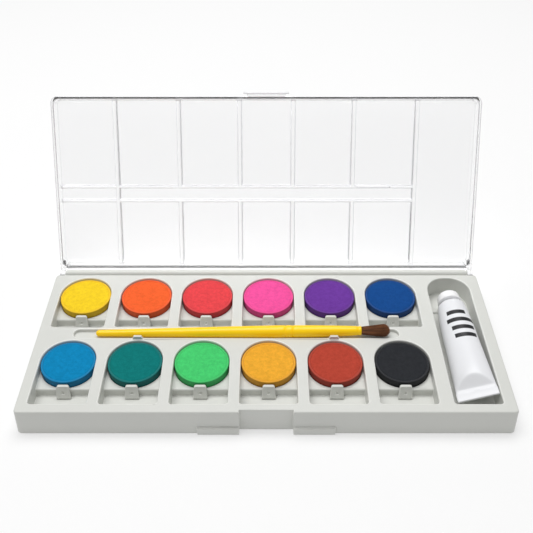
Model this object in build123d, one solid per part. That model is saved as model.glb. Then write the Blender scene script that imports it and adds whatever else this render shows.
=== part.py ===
"""Watercolor travel box: a moulded tray with twelve paint pans, a brush, a tube of white and a clear lid.

Frame: millimetres, +X right, +Y back, +Z up. The origin is on the plane that the tray stands on,
at the middle of the tray's top outline. The lid is drawn closed and then turned to its open stop.
"""
from build123d import *
from math import atan, cos, degrees, pi, radians, sin, sqrt, tan
import os

os.makedirs("parts", exist_ok=True)

# Tray
TRAY_WIDTH = 259.4
TRAY_DEPTH = 108.0
TRAY_HEIGHT = 16.0
TRAY_FLARE = 0.9
TRAY_CORNER_RADIUS = 3.0
TRAY_EDGE_RADIUS = 0.9
WALL = 1.6
POCKET_WALL = 1.5
POCKET_BEVEL = 0.45
SPINE_WIDTH = 2.0

# Paint pans
PAN_DIAMETER = 30.0
PAN_HEIGHT = 7.0
PAN_DRAFT = 0.3
PAN_WALL = 1.3
PAN_FLOOR = 1.0
PAN_EDGE_RADIUS = 0.35
PAINT_RECESS = 0.3
PAINT_GAP = 0.05
PAN_LIFT_CLEARANCE = 0.2
PAN_PITCH = 36.6
FIRST_PAN_X = -108.5
FRONT_PAN_Y = -17.8
REAR_PAN_Y = 35.7
FRONT_COLOURS = ("cyan", "teal", "green", "ochre", "brick", "black")
REAR_COLOURS = ("yellow", "orange", "red", "pink", "violet", "blue")

# Wells under the pans
WELL_CORNER_RADIUS = 1.6
FRONT_WELL_LENGTH = 45.6
REAR_WELL_LENGTH = 42.4
PLATFORM_DEPTH = 5.4
PLATFORM_REACH = 16.4
PLATFORM_ROUNDING = 1.1
SEAT_DEPTH = 8.3
TRENCH_DEPTH = 10.0
POCKET_FLOOR = 1.5

# Spring clips in front of the pans
CLIP_FOOT_WIDTH = 7.8
CLIP_TOP_WIDTH = 6.4
CLIP_FOOT_RADIUS = 0.85
CLIP_TOP_THICKNESS = 1.5
CLIP_TOP_DROP = 2.2
CLIP_TOP_CORNER = 1.2
CLIP_PAN_GAP = 0.5
CLIP_FOOT_REACH = 18.5
CLIP_FLOOR_GAP = 0.05
CLIP_DIMPLE_RADIUS = 0.8
CLIP_DIMPLE_DEPTH = 0.5
CLIP_DIMPLE_HEIGHT = 3.0
CLIP_DIMPLE_REACH = 4.0

# Brush and its groove
BRUSH_Y = 2.9
BRUSH_CENTRE_RISE = 1.4
BRUSH_TILT = 0.79
GROOVE_WIDTH = 6.6
GROOVE_DEPTH = 2.2
GROOVE_LEFT = -109.3
GROOVE_RIGHT = 75.2
BRUSH_TIP_X = -96.6
BRUSH_WAIST_X = 14.3
BRUSH_MOUTH_X = 53.7
HANDLE_TIP_RADIUS = 1.75
HANDLE_BELLY_RADIUS = 3.5
HANDLE_BELLY_X = 5.0
HANDLE_TIP_CURVE = 1.15
HANDLE_WAIST_RADIUS = 3.45
HANDLE_STEPS = 8
FERRULE_MOUTH_RADIUS = 2.55
FERRULE_CURVE = 1.8
FERRULE_STEPS = 6
RING_GAP = 3.5
RING_DEPTH = 0.2
RING_WIDTH = 0.6
TENON_RADIUS = 1.3
TENON_LENGTH = 12.0
BRISTLE_BORE_RADIUS = 2.2
BRISTLE_BORE_DEPTH = 3.0
BRISTLE_BACKING = 1.0
BRISTLE_SET_BACK = 0.25
BRISTLE_COUNT = 340
BRISTLE_LENGTH = 16.8
BRISTLE_SHOULDER = 12.4
BRISTLE_TIP_RADIUS = 4.1
BRISTLE_THICKNESS = 0.13
BRISTLE_TIP_THICKNESS = 0.065
BRISTLE_TRAY_GAP = 0.35
BRISTLE_FLATTEN = 0.1
NUB_XS = (-72.4, 38.2)
NUB_FOOT = 6.9
NUB_TOP = 4.2
NUB_DEPTH = 1.7
NUB_TOP_DEPTH = 1.36
NUB_TOP_SET_BACK = 0.17
NUB_RISE = 2.0
NUB_FRONT_Y = -2.1

# Tube of white and its well
TUBE_WELL_LEFT = 97.7
TUBE_WELL_RIGHT = 123.0
TUBE_WELL_DEPTH = 12.2
TUBE_WELL_CORNER = 11.5
TUBE_REST_Y = 32.8
TUBE_REST_WIDTH = 1.6
TUBE_REST_HEIGHT = 1.0
TUBE_RADIUS = 8.1
TUBE_BODY_LENGTH = 63.7
TUBE_SHOULDER_LENGTH = 3.6
TUBE_MID_SHARE = 0.45
TUBE_MID_WIDTH = 19.4
TUBE_MID_HEIGHT = 12.6
TUBE_CRIMP_WIDTH = 22.0
TUBE_CRIMP_LENGTH = 5.3
TUBE_CRIMP_OVERLAP = 1.0
TUBE_CRIMP_THICKNESS = 1.4
TUBE_CRIMP_STEP = 0.2
TUBE_SHOULDER_STEP = 0.5
TUBE_NECK_RADIUS = 4.0
TUBE_NECK_LENGTH = 3.8
TUBE_YAW = 1.5
TUBE_ROLL = 18.0
TUBE_FLOOR_GAP = 0.3
TUBE_NECK_X = 110.2
TUBE_NECK_Y = 27.4
CAP_RADIUS = 7.0
CAP_LENGTH = 6.2
CAP_DRAFT = 0.3
CAP_TOP = 2.2
CAP_EDGE_RADIUS = 0.8
NECK_CLEARANCE = 0.06
CAP_SHOULDER_GAP = 0.25

# Front latch: recess and finger lips in the tray, tab on the lid
RECESS_WIDTH = 28.2
RECESS_SET_BACK = 1.7
LIP_INNER_X = 14.2
LIP_OUTER_X = 36.0
LIP_HEIGHT = 4.8
LIP_REACH = 1.0
TAB_WIDTH = 26.8
TAB_THICKNESS = 1.2
TAB_DROP = 9.0
TAB_BRIDGE = 4.0
TAB_GAP = 0.25
TAB_BEAD = 0.2
TAB_BEAD_HEIGHT = 1.0
TAB_BEAD_RISE = 1.0
TAB_CORNER_RADIUS = 2.0

# Lid
LID_SIDE_INSET = 1.5
LID_FRONT_INSET = 2.8
LID_REAR_INSET = 0.5
LID_HEIGHT = 10.5
LID_WALL = 1.8
LID_DRAFT = 1.2
LID_CORNER_RADIUS = 4.0
LID_EDGE_RADIUS = 2.4
LID_INNER_RADIUS = 1.6
LID_OPEN_ANGLE = 117.0
LID_SEAT_GAP = 0.05
RIB_XS = (-91.4, -53.0, -16.1, 16.3, 53.0, 91.1)
RIB_THICKNESS = 2.4
RIB_HEIGHT = 3.4
CROSS_RIB_YS = (3.4, 12.0)
CROSS_RIB_THICKNESS = 1.6
RELIEF_FROM_X = 56.0
RELIEF_TO_X = 76.0
RELIEF_RISE = 1.6

# Hinge: a round rail along the tray's rear edge, held by pins on two arms of the lid
HINGE_SET_BACK = 2.5
HINGE_DROP = 1.1
RAIL_RADIUS = 2.3
RAIL_END_GAP = 0.3
ARM_WIDTH = 3.3
ARM_RADIUS = 2.1
ARM_LENGTH = 5.0
ARM_HEIGHT = 4.4
PIN_RADIUS = 1.2
PIN_LENGTH = 5.0
PIN_CLEARANCE = 0.06

# Places worked out from the sizes above
FRONT_Y = -TRAY_DEPTH / 2
REAR_Y = TRAY_DEPTH / 2
WELL_RADIUS = PAN_DIAMETER / 2 + PAN_LIFT_CLEARANCE
PAN_SEAT_Z = TRAY_HEIGHT - SEAT_DEPTH
CLIP_FOOT_Z = TRAY_HEIGHT - TRENCH_DEPTH + CLIP_FOOT_RADIUS + CLIP_FLOOR_GAP
BRUSH_Z = TRAY_HEIGHT + BRUSH_CENTRE_RISE
HINGE_Y = REAR_Y + HINGE_SET_BACK
HINGE_Z = TRAY_HEIGHT - HINGE_DROP
LID_HALF_WIDTH = TRAY_WIDTH / 2 - LID_SIDE_INSET
LID_FRONT_Y = FRONT_Y + LID_FRONT_INSET
LID_REAR_Y = REAR_Y - LID_REAR_INSET
LID_RIM_Z = TRAY_HEIGHT + LID_SEAT_GAP
LID_TOP_Z = LID_RIM_Z + LID_HEIGHT
RAIL_HALF_LENGTH = LID_HALF_WIDTH - ARM_WIDTH - RAIL_END_GAP
TUBE_FLOOR_Z = TRAY_HEIGHT - TUBE_WELL_DEPTH
TUBE_AXIS_Z = TUBE_FLOOR_Z + TUBE_FLOOR_GAP + TUBE_RADIUS
TUBE_WELL_FRONT_Y = FRONT_PAN_Y - FRONT_WELL_LENGTH + WELL_RADIUS
TUBE_WELL_BACK_Y = REAR_PAN_Y + WELL_RADIUS
TUBE_WELL_WIDTH = TUBE_WELL_RIGHT - TUBE_WELL_LEFT
TUBE_WELL_LENGTH = TUBE_WELL_BACK_Y - TUBE_WELL_FRONT_Y
TUBE_WELL_X = (TUBE_WELL_LEFT + TUBE_WELL_RIGHT) / 2
TUBE_WELL_Y = (TUBE_WELL_BACK_Y + TUBE_WELL_FRONT_Y) / 2
GROOVE_X = (GROOVE_LEFT + GROOVE_RIGHT) / 2


def box_between(low: tuple, high: tuple) -> Part:
    """A block from its lowest corner to its highest."""
    size = [b - a for a, b in zip(low, high)]
    middle = [(a + b) / 2 for a, b in zip(low, high)]
    return Pos(*middle) * Box(*size)


def drafted_block(width: float, depth: float, corner: float, height: float, shrink: float) -> Part:
    """A rounded block that narrows by shrink on every side from its foot to its top."""
    taper = degrees(atan(shrink / height))
    return extrude(RectangleRounded(width, depth, corner), height, taper=taper)


def top_edges(shape: Part, z: float, tolerance: float = 0.01) -> ShapeList:
    """The edges that lie in the level plane at height z."""
    low_enough = shape.edges().filter_by(lambda edge: edge.bounding_box().max.Z < z + tolerance)
    return low_enough.filter_by(lambda edge: edge.bounding_box().min.Z > z - tolerance)


def bevelled_mouth(outline: Sketch) -> Part:
    """The bevel round a pocket's mouth, below an outline that is already grown by the bevel."""
    return extrude(outline, -POCKET_BEVEL, taper=45)


# Tray
def well_outline(length: float, grow: float = 0.0) -> Sketch:
    """A well seen from above: a half circle round the pan's centre and a straight-sided front."""
    radius = WELL_RADIUS + grow
    front = length - WELL_RADIUS + grow
    straight = Pos(0, -front / 2) * Rectangle(2 * radius, front)
    corners = straight.vertices().sort_by(Axis.Y)[:2]
    return Circle(radius) + fillet(corners, WELL_CORNER_RADIUS + grow)


def well_hollow(length: float) -> Part:
    """The space of one well below the tray's top: platform level, trench and pan seat."""
    outline = well_outline(length)
    front = length - WELL_RADIUS
    trench_length = front - PLATFORM_REACH
    trench_zone = Pos(0, -front + trench_length / 2) * Rectangle(3 * WELL_RADIUS, trench_length)
    hollow = extrude(outline, -TRENCH_DEPTH) + bevelled_mouth(well_outline(length, POCKET_BEVEL))
    platform = extrude(outline - trench_zone, -TRENCH_DEPTH) - extrude(outline, -PLATFORM_DEPTH)
    step = platform.edges().filter_by(Axis.X).sort_by(lambda e: e.center().Z - e.center().Y)[-1]
    platform = fillet(step, PLATFORM_ROUNDING)
    return hollow - platform + extrude(Circle(WELL_RADIUS), -SEAT_DEPTH)


def tube_outline(grow: float = 0.0) -> Sketch:
    """The tube's well seen from above, widely rounded at the cap's end."""
    outline = Rectangle(TUBE_WELL_WIDTH + 2 * grow, TUBE_WELL_LENGTH + 2 * grow)
    outline = fillet(outline.vertices().sort_by(Axis.Y)[2:], TUBE_WELL_CORNER + grow)
    return fillet(outline.vertices().sort_by(Axis.Y)[:2], WELL_CORNER_RADIUS + grow)


def tube_hollow() -> Part:
    """The space of the tube's well, crossed by a low rest under the cap."""
    hollow = extrude(tube_outline(), -TUBE_WELL_DEPTH) + bevelled_mouth(tube_outline(POCKET_BEVEL))
    low = (-TUBE_WELL_WIDTH / 2, TUBE_REST_Y - TUBE_WELL_Y - TUBE_REST_WIDTH / 2, -TUBE_WELL_DEPTH)
    high = (TUBE_WELL_WIDTH / 2, low[1] + TUBE_REST_WIDTH, low[2] + TUBE_REST_HEIGHT)
    return Pos(TUBE_WELL_X, TUBE_WELL_Y, TRAY_HEIGHT) * (hollow - box_between(low, high))


def groove_outline(grow: float = 0.0) -> Sketch:
    """The round-ended brush groove seen from above."""
    return SlotOverall(GROOVE_RIGHT - GROOVE_LEFT + 2 * grow, GROOVE_WIDTH + 2 * grow)


def brush_groove() -> Part:
    """The shallow groove that the brush lies in."""
    groove = extrude(groove_outline(), -GROOVE_DEPTH) + bevelled_mouth(groove_outline(POCKET_BEVEL))
    return Pos(GROOVE_X, BRUSH_Y, TRAY_HEIGHT) * groove


def pan_places() -> list:
    """Row name, number, colour, well length and centre of each pan."""
    places = []
    rows = (
        ("front", FRONT_COLOURS, FRONT_WELL_LENGTH, FRONT_PAN_Y),
        ("rear", REAR_COLOURS, REAR_WELL_LENGTH, REAR_PAN_Y),
    )
    for row, colours, length, y in rows:
        for number, colour in enumerate(colours):
            places.append((row, number + 1, colour, length, FIRST_PAN_X + number * PAN_PITCH, y))
    return places


def pocket_shells() -> Part:
    """The walls and floors that hang below the deck round every pocket."""
    shells = []
    for _, _, _, length, x, y in pan_places():
        depth = TRENCH_DEPTH + POCKET_FLOOR
        shells.append(Pos(x, y, TRAY_HEIGHT) * extrude(well_outline(length, POCKET_WALL), -depth))
    tube_shell = extrude(tube_outline(POCKET_WALL), -TUBE_WELL_DEPTH - POCKET_FLOOR)
    shells.append(Pos(TUBE_WELL_X, TUBE_WELL_Y, TRAY_HEIGHT) * tube_shell)
    groove_shell = extrude(groove_outline(POCKET_WALL), -GROOVE_DEPTH - POCKET_FLOOR)
    shells.append(Pos(GROOVE_X, BRUSH_Y, TRAY_HEIGHT) * groove_shell)
    half_inside = TRAY_WIDTH / 2 - WALL
    shells.append(box_between((-half_inside, -SPINE_WIDTH / 2, 0), (half_inside, SPINE_WIDTH / 2, TRAY_HEIGHT)))
    recess_back = RECESS_SET_BACK + WALL
    recess_low = (-RECESS_WIDTH / 2 - WALL, FRONT_Y - TRAY_FLARE, 0)
    shells.append(box_between(recess_low, (RECESS_WIDTH / 2 + WALL, FRONT_Y + recess_back, TRAY_HEIGHT)))
    return Part() + shells


def finger_lips() -> Part:
    """Two low lips along the foot of the front face, either side of the latch recess."""
    lips = []
    for side in (-1, 1):
        inner, outer = sorted((side * LIP_INNER_X, side * LIP_OUTER_X))
        low = (inner, FRONT_Y - TRAY_FLARE - LIP_REACH, 0)
        lip = box_between(low, (outer, FRONT_Y + WALL / 2, LIP_HEIGHT))
        front_edges = lip.edges().filter_by(Axis.X).group_by(Axis.Y)[0]
        lips.append(fillet(front_edges.sort_by(Axis.Z)[-1], LIP_REACH / 2))
    return Part() + lips


def brush_nubs() -> Part:
    """Two small wedges on the groove's front edge that keep the brush from rolling."""
    nubs = []
    for x in NUB_XS:
        y = NUB_FRONT_Y + NUB_DEPTH / 2
        foot = Pos(x, y, TRAY_HEIGHT - WALL / 2) * Rectangle(NUB_FOOT, NUB_DEPTH)
        top = Pos(x, y + NUB_TOP_SET_BACK, TRAY_HEIGHT + NUB_RISE) * Rectangle(NUB_TOP, NUB_TOP_DEPTH)
        nubs.append(loft([foot, top]))
    return Part() + nubs


def hinge_rail() -> Part:
    """The round rail behind the tray's rear edge, on a web, with a pin hole in each end."""
    rail = Pos(0, HINGE_Y, HINGE_Z) * Rot(0, 90, 0) * Cylinder(RAIL_RADIUS, 2 * RAIL_HALF_LENGTH)
    web_low = (-RAIL_HALF_LENGTH, REAR_Y - WALL / 2, HINGE_Z - RAIL_RADIUS)
    web = box_between(web_low, (RAIL_HALF_LENGTH, HINGE_Y, HINGE_Z - RAIL_RADIUS / 2))
    hole_depth = PIN_LENGTH - RAIL_END_GAP + PIN_CLEARANCE
    hole = Rot(0, 90, 0) * Cylinder(PIN_RADIUS + PIN_CLEARANCE, 2 * hole_depth)
    holes = [Pos(side * RAIL_HALF_LENGTH, HINGE_Y, HINGE_Z) * hole for side in (-1, 1)]
    return rail + web - holes


def tray() -> Part:
    """The grey moulding, open underneath."""
    outside = drafted_block(
        TRAY_WIDTH + 2 * TRAY_FLARE, TRAY_DEPTH + 2 * TRAY_FLARE, TRAY_CORNER_RADIUS, TRAY_HEIGHT, TRAY_FLARE
    )
    inside = drafted_block(
        TRAY_WIDTH + 2 * TRAY_FLARE - 2 * WALL, TRAY_DEPTH + 2 * TRAY_FLARE - 2 * WALL,
        TRAY_CORNER_RADIUS - WALL, TRAY_HEIGHT - WALL, TRAY_FLARE,
    )
    outside = fillet(top_edges(outside, TRAY_HEIGHT), TRAY_EDGE_RADIUS)
    body = outside - (inside - pocket_shells())
    recess_low = (-RECESS_WIDTH / 2, FRONT_Y - 2 * TRAY_FLARE, -1)
    body = body - box_between(recess_low, (RECESS_WIDTH / 2, FRONT_Y + RECESS_SET_BACK, TRAY_HEIGHT + 1))
    hollows = [Pos(x, y, TRAY_HEIGHT) * well_hollow(length) for _, _, _, length, x, y in pan_places()]
    body = body - hollows - tube_hollow() - brush_groove()
    return body + finger_lips() + brush_nubs() + hinge_rail()


# Spring clips
def clip() -> Part:
    """One clip with its foot's axis at the origin: it leans back until it nearly meets the pan."""
    lean = CLIP_FOOT_REACH - PAN_DIAMETER / 2 - CLIP_PAN_GAP
    height = TRENCH_DEPTH - CLIP_TOP_DROP - CLIP_FOOT_RADIUS - CLIP_FLOOR_GAP
    side = Polygon(
        (-CLIP_FOOT_RADIUS, 0), (lean - CLIP_TOP_THICKNESS, height), (lean, height), (CLIP_FOOT_RADIUS, 0),
        align=None,
    )
    side = side + Circle(CLIP_FOOT_RADIUS)
    blade = extrude(Plane.YZ * side, CLIP_FOOT_WIDTH / 2, both=True)
    low = -CLIP_FOOT_RADIUS
    front = Polygon(
        (-CLIP_FOOT_WIDTH / 2, low), (CLIP_FOOT_WIDTH / 2, low), (CLIP_TOP_WIDTH / 2, height),
        (-CLIP_TOP_WIDTH / 2, height), align=None,
    )
    front = fillet(front.vertices().sort_by(Axis.Y)[2:], CLIP_TOP_CORNER)
    blade = blade & extrude(Plane.XZ * front, CLIP_FOOT_REACH, both=True)
    face_y = -CLIP_FOOT_RADIUS + CLIP_DIMPLE_HEIGHT * (lean - CLIP_TOP_THICKNESS + CLIP_FOOT_RADIUS) / height
    dimple = Rot(90, 0, 0) * Cylinder(CLIP_DIMPLE_RADIUS, CLIP_DIMPLE_REACH)
    dimple = Pos(0, face_y + CLIP_DIMPLE_DEPTH - CLIP_DIMPLE_REACH / 2, CLIP_DIMPLE_HEIGHT) * dimple
    return blade - dimple


# Pans
def pan_cup() -> Part:
    """An empty pan, standing at the origin."""
    cup = Pos(0, 0, PAN_HEIGHT / 2) * Cone(PAN_DIAMETER / 2 - PAN_DRAFT, PAN_DIAMETER / 2, PAN_HEIGHT)
    inside = extrude(Pos(0, 0, PAN_FLOOR) * Circle(PAN_DIAMETER / 2 - PAN_WALL), PAN_HEIGHT)
    cup = cup - inside
    outer_rim = top_edges(cup, PAN_HEIGHT).sort_by(SortBy.LENGTH)[-1]
    return fillet(outer_rim, PAN_EDGE_RADIUS)


def paint_cake() -> Part:
    """The dried paint that fills a pan to just below its rim."""
    radius = PAN_DIAMETER / 2 - PAN_WALL - PAINT_GAP
    height = PAN_HEIGHT - PAN_FLOOR - PAINT_RECESS
    cake = Pos(0, 0, PAN_FLOOR) * extrude(Circle(radius), height)
    return fillet(top_edges(cake, PAN_FLOOR + height), PAN_EDGE_RADIUS)


# Brush
def handle_radius(x: float) -> float:
    """Radius of the brush handle between its tip and its waist, fullest at the belly."""
    if x < HANDLE_BELLY_X:
        share = (HANDLE_BELLY_X - x) / (HANDLE_BELLY_X - BRUSH_TIP_X)
        return HANDLE_BELLY_RADIUS - (HANDLE_BELLY_RADIUS - HANDLE_TIP_RADIUS) * share ** HANDLE_TIP_CURVE
    share = (x - HANDLE_BELLY_X) / (BRUSH_WAIST_X - HANDLE_BELLY_X)
    return HANDLE_BELLY_RADIUS - (HANDLE_BELLY_RADIUS - HANDLE_WAIST_RADIUS) * share ** 2


def ferrule_radius(x: float) -> float:
    """Radius of the sleeve, which narrows faster toward its mouth."""
    share = (x - BRUSH_WAIST_X) / (BRUSH_MOUTH_X - BRUSH_WAIST_X)
    return FERRULE_MOUTH_RADIUS + (HANDLE_WAIST_RADIUS - FERRULE_MOUTH_RADIUS) * (1 - share ** FERRULE_CURVE)


def curve_points(radius_at, start: float, end: float, steps: int) -> list:
    """Points (x, radius) of a turned curve at even steps from start to end."""
    xs = [start + (end - start) * i / steps for i in range(steps + 1)]
    return [(x, radius_at(x)) for x in xs]


def ring_groove(x: float, radius: float) -> Part:
    """A fine turned groove round the brush at x."""
    ring = Rot(0, 90, 0) * (Cylinder(radius + 1, RING_WIDTH) - Cylinder(radius - RING_DEPTH, RING_WIDTH))
    return Pos(x, 0, 0) * ring


def brush_handle() -> Part:
    """The glossy handle, turned in one piece with its rounded tip and the tenon that goes into the ferrule."""
    start = BRUSH_TIP_X + HANDLE_TIP_RADIUS
    points = curve_points(handle_radius, start, BRUSH_WAIST_X, HANDLE_STEPS)
    tip_radius = points[0][1]
    tip_middle = (start - tip_radius * sin(pi / 4), tip_radius * cos(pi / 4))
    tip = ThreePointArc((start - tip_radius, 0), tip_middle, points[0])
    tenon_end = BRUSH_WAIST_X + TENON_LENGTH
    rest = Polyline(
        points[-1], (BRUSH_WAIST_X, TENON_RADIUS), (tenon_end, TENON_RADIUS), (tenon_end, 0),
        (start - tip_radius, 0),
    )
    handle = revolve(make_face(Curve() + [tip, Spline(*points), rest]), Axis.X)
    ring_x = BRUSH_WAIST_X - RING_GAP
    return handle - ring_groove(ring_x, handle_radius(ring_x))


def brush_ferrule() -> Part:
    """The sleeve between the handle and the bristles, bored at both ends."""
    points = curve_points(ferrule_radius, BRUSH_WAIST_X, BRUSH_MOUTH_X, FERRULE_STEPS)
    tenon_end = BRUSH_WAIST_X + TENON_LENGTH
    bore_start = BRUSH_MOUTH_X - BRISTLE_BORE_DEPTH
    rest = Polyline(
        points[-1], (BRUSH_MOUTH_X, BRISTLE_BORE_RADIUS), (bore_start, BRISTLE_BORE_RADIUS), (bore_start, 0),
        (tenon_end, 0), (tenon_end, TENON_RADIUS), (BRUSH_WAIST_X, TENON_RADIUS), points[0],
    )
    sleeve = revolve(make_face(Curve() + [Spline(*points), rest]), Axis.X)
    ring_x = BRUSH_MOUTH_X - BRISTLE_BACKING - RING_WIDTH
    return sleeve - ring_groove(ring_x, ferrule_radius(ring_x))


def bristle(index: int) -> Solid:
    """One three-sided strand: rooted on a sunflower spiral, spreading straight out to the tip's dome."""
    share = sqrt((index + 0.5) / BRISTLE_COUNT)
    angle = index * pi * (3 - sqrt(5))
    root_radius = share * (BRISTLE_BORE_RADIUS - BRISTLE_THICKNESS)
    tip_radius = share * BRISTLE_TIP_RADIUS
    reach = BRISTLE_SHOULDER + (BRISTLE_LENGTH - BRISTLE_SHOULDER) * sqrt(1 - share ** 2)
    root = Vector(BRUSH_MOUTH_X - BRISTLE_BACKING / 2, root_radius * cos(angle), root_radius * sin(angle))
    tip = Vector(BRUSH_MOUTH_X + reach, tip_radius * cos(angle), tip_radius * sin(angle))
    deck = -BRUSH_CENTRE_RISE - tan(radians(BRUSH_TILT)) * tip.X
    floor = deck + BRISTLE_TRAY_GAP
    outside_groove = abs(tip.Y) > GROOVE_WIDTH / 2 - 2 * BRISTLE_TRAY_GAP
    if outside_groove and tip.Z < floor:
        tip = Vector(tip.X, tip.Y, floor + (tip.Z - floor) * BRISTLE_FLATTEN)
    ends = []
    for place, thickness in ((root, BRISTLE_THICKNESS), (tip, BRISTLE_TIP_THICKNESS)):
        plane = Plane(origin=place, x_dir=(0, cos(angle), sin(angle)), z_dir=(1, 0, 0))
        ends.append(plane * RegularPolygon(thickness / 2, 3))
    return loft(ends, ruled=True).solid()


def brush_bristles() -> Part:
    """All strands fused to the backing disc that is pressed into the ferrule."""
    length = BRISTLE_BORE_DEPTH - BRISTLE_SET_BACK
    backing = Rot(0, 90, 0) * Cylinder(BRISTLE_BORE_RADIUS, length)
    backing = Pos(BRUSH_MOUTH_X - BRISTLE_BORE_DEPTH + length / 2, 0, 0) * backing
    return backing.fuse(*[bristle(index) for index in range(BRISTLE_COUNT)])


# Tube
def tube_pose() -> Location:
    """Where the tube's shoulder lies: neck toward +Y, crimp toward the front, turned and rolled a little."""
    return Pos(TUBE_NECK_X, TUBE_NECK_Y, TUBE_AXIS_Z) * Rot(0, 0, TUBE_YAW) * Rot(0, -TUBE_ROLL, 0)


def across(y: float) -> Plane:
    """The plane square to the tube's own axis at y, seen from the front."""
    return Plane(origin=(0, y, 0), x_dir=(1, 0, 0), z_dir=(0, -1, 0))


def paint_tube() -> Part:
    """The tube: round at the shoulder, flattened to a folded crimp at the far end."""
    sections = [
        across(0) * Ellipse(TUBE_RADIUS, TUBE_RADIUS),
        across(-TUBE_BODY_LENGTH * TUBE_MID_SHARE) * Ellipse(TUBE_MID_WIDTH / 2, TUBE_MID_HEIGHT / 2),
        across(-TUBE_BODY_LENGTH) * Ellipse(
            TUBE_CRIMP_WIDTH / 2 - TUBE_CRIMP_STEP, TUBE_CRIMP_THICKNESS / 2 - TUBE_CRIMP_STEP
        ),
    ]
    body = loft(sections)
    shoulder = Rot(-90, 0, 0) * Cone(TUBE_RADIUS - TUBE_SHOULDER_STEP, TUBE_NECK_RADIUS, TUBE_SHOULDER_LENGTH)
    shoulder = Pos(0, TUBE_SHOULDER_LENGTH / 2, 0) * shoulder
    neck_length = TUBE_SHOULDER_LENGTH + TUBE_NECK_LENGTH
    neck = Pos(0, neck_length / 2, 0) * Rot(-90, 0, 0) * Cylinder(TUBE_NECK_RADIUS, neck_length)
    crimp_low = (-TUBE_CRIMP_WIDTH / 2, -TUBE_BODY_LENGTH - TUBE_CRIMP_LENGTH, -TUBE_CRIMP_THICKNESS / 2)
    crimp_high = (TUBE_CRIMP_WIDTH / 2, TUBE_CRIMP_OVERLAP - TUBE_BODY_LENGTH, TUBE_CRIMP_THICKNESS / 2)
    return tube_pose() * (body + shoulder + neck + box_between(crimp_low, crimp_high))


def tube_cap() -> Part:
    """The screw cap, bored to turn on the neck."""
    low_y = TUBE_SHOULDER_LENGTH + CAP_SHOULDER_GAP
    cap = Rot(-90, 0, 0) * Cone(CAP_RADIUS, CAP_RADIUS - CAP_DRAFT, CAP_LENGTH)
    cap = Pos(0, low_y + CAP_LENGTH / 2, 0) * cap
    cap = fillet(cap.edges().sort_by(Axis.Y)[-1], CAP_EDGE_RADIUS)
    bore_length = CAP_LENGTH - CAP_TOP
    bore = Rot(-90, 0, 0) * Cylinder(TUBE_NECK_RADIUS + NECK_CLEARANCE, bore_length)
    return tube_pose() * (cap - Pos(0, low_y + bore_length / 2, 0) * bore)


# Lid
def lid_shell() -> Part:
    """The clear cover closed on the tray: top panel and four side walls."""
    width = 2 * LID_HALF_WIDTH
    depth = LID_REAR_Y - LID_FRONT_Y
    middle_y = (LID_REAR_Y + LID_FRONT_Y) / 2
    outside = drafted_block(width, depth, LID_CORNER_RADIUS, LID_HEIGHT, LID_DRAFT)
    outside = fillet(top_edges(outside, LID_HEIGHT), LID_EDGE_RADIUS)
    inner_height = LID_HEIGHT - LID_WALL
    inner_shrink = LID_DRAFT * inner_height / LID_HEIGHT
    inside = drafted_block(
        width - 2 * LID_WALL, depth - 2 * LID_WALL, LID_CORNER_RADIUS - LID_WALL / 2, inner_height, inner_shrink
    )
    inside = fillet(top_edges(inside, inner_height), LID_INNER_RADIUS)
    return Pos(0, middle_y, LID_RIM_Z) * (outside - inside)


def lid_ribs() -> Part:
    """The ribs that part the lid into mixing wells, relieved where the bristles lie when the lid is closed."""
    rib_low_z = LID_TOP_Z - LID_WALL - RIB_HEIGHT
    rib_high_z = LID_TOP_Z - LID_WALL / 2
    front = LID_FRONT_Y + LID_WALL
    back = LID_REAR_Y - LID_WALL
    half = RIB_THICKNESS / 2
    band_front = CROSS_RIB_YS[0]
    band_back = CROSS_RIB_YS[1]
    ribs = []
    for number, x in enumerate(RIB_XS):
        crosses_band = number in (0, len(RIB_XS) - 1)
        spans = ((front, back),) if crosses_band else ((front, band_front), (band_back, back))
        for low_y, high_y in spans:
            ribs.append(box_between((x - half, low_y, rib_low_z), (x + half, high_y, rib_high_z)))
    left = -LID_HALF_WIDTH + LID_WALL
    for y in CROSS_RIB_YS:
        low = (left, y - CROSS_RIB_THICKNESS / 2, rib_low_z)
        ribs.append(box_between(low, (RIB_XS[-1], y + CROSS_RIB_THICKNESS / 2, rib_high_z)))
    relief_low = (RELIEF_FROM_X, band_front - CROSS_RIB_THICKNESS, rib_low_z - RELIEF_RISE)
    relief_high = (RELIEF_TO_X, band_front + CROSS_RIB_THICKNESS, rib_low_z + RELIEF_RISE)
    return Part() + ribs - box_between(relief_low, relief_high)


def latch_tab() -> Part:
    """The tab that hangs from the lid's front wall into the tray's recess."""
    inner_y = FRONT_Y + RECESS_SET_BACK - TAB_GAP
    outer_y = inner_y - TAB_THICKNESS
    low_z = TRAY_HEIGHT - TAB_DROP
    tab = box_between((-TAB_WIDTH / 2, outer_y, low_z), (TAB_WIDTH / 2, inner_y, LID_RIM_Z + TAB_BRIDGE))
    tab = fillet(tab.edges().filter_by(Axis.Y), TAB_CORNER_RADIUS)
    bridge_low = (-TAB_WIDTH / 2 + TAB_CORNER_RADIUS, inner_y - TAB_THICKNESS / 2, LID_RIM_Z)
    bridge_high = (TAB_WIDTH / 2 - TAB_CORNER_RADIUS, LID_FRONT_Y + LID_WALL, LID_RIM_Z + TAB_BRIDGE)
    bridge = box_between(bridge_low, bridge_high)
    bead_z = low_z + TAB_BEAD_RISE
    bead_high = (TAB_WIDTH / 4, inner_y + TAB_BEAD, bead_z + TAB_BEAD_HEIGHT)
    bead = box_between((-TAB_WIDTH / 4, inner_y, bead_z), bead_high)
    return tab + bridge + bead


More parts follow.
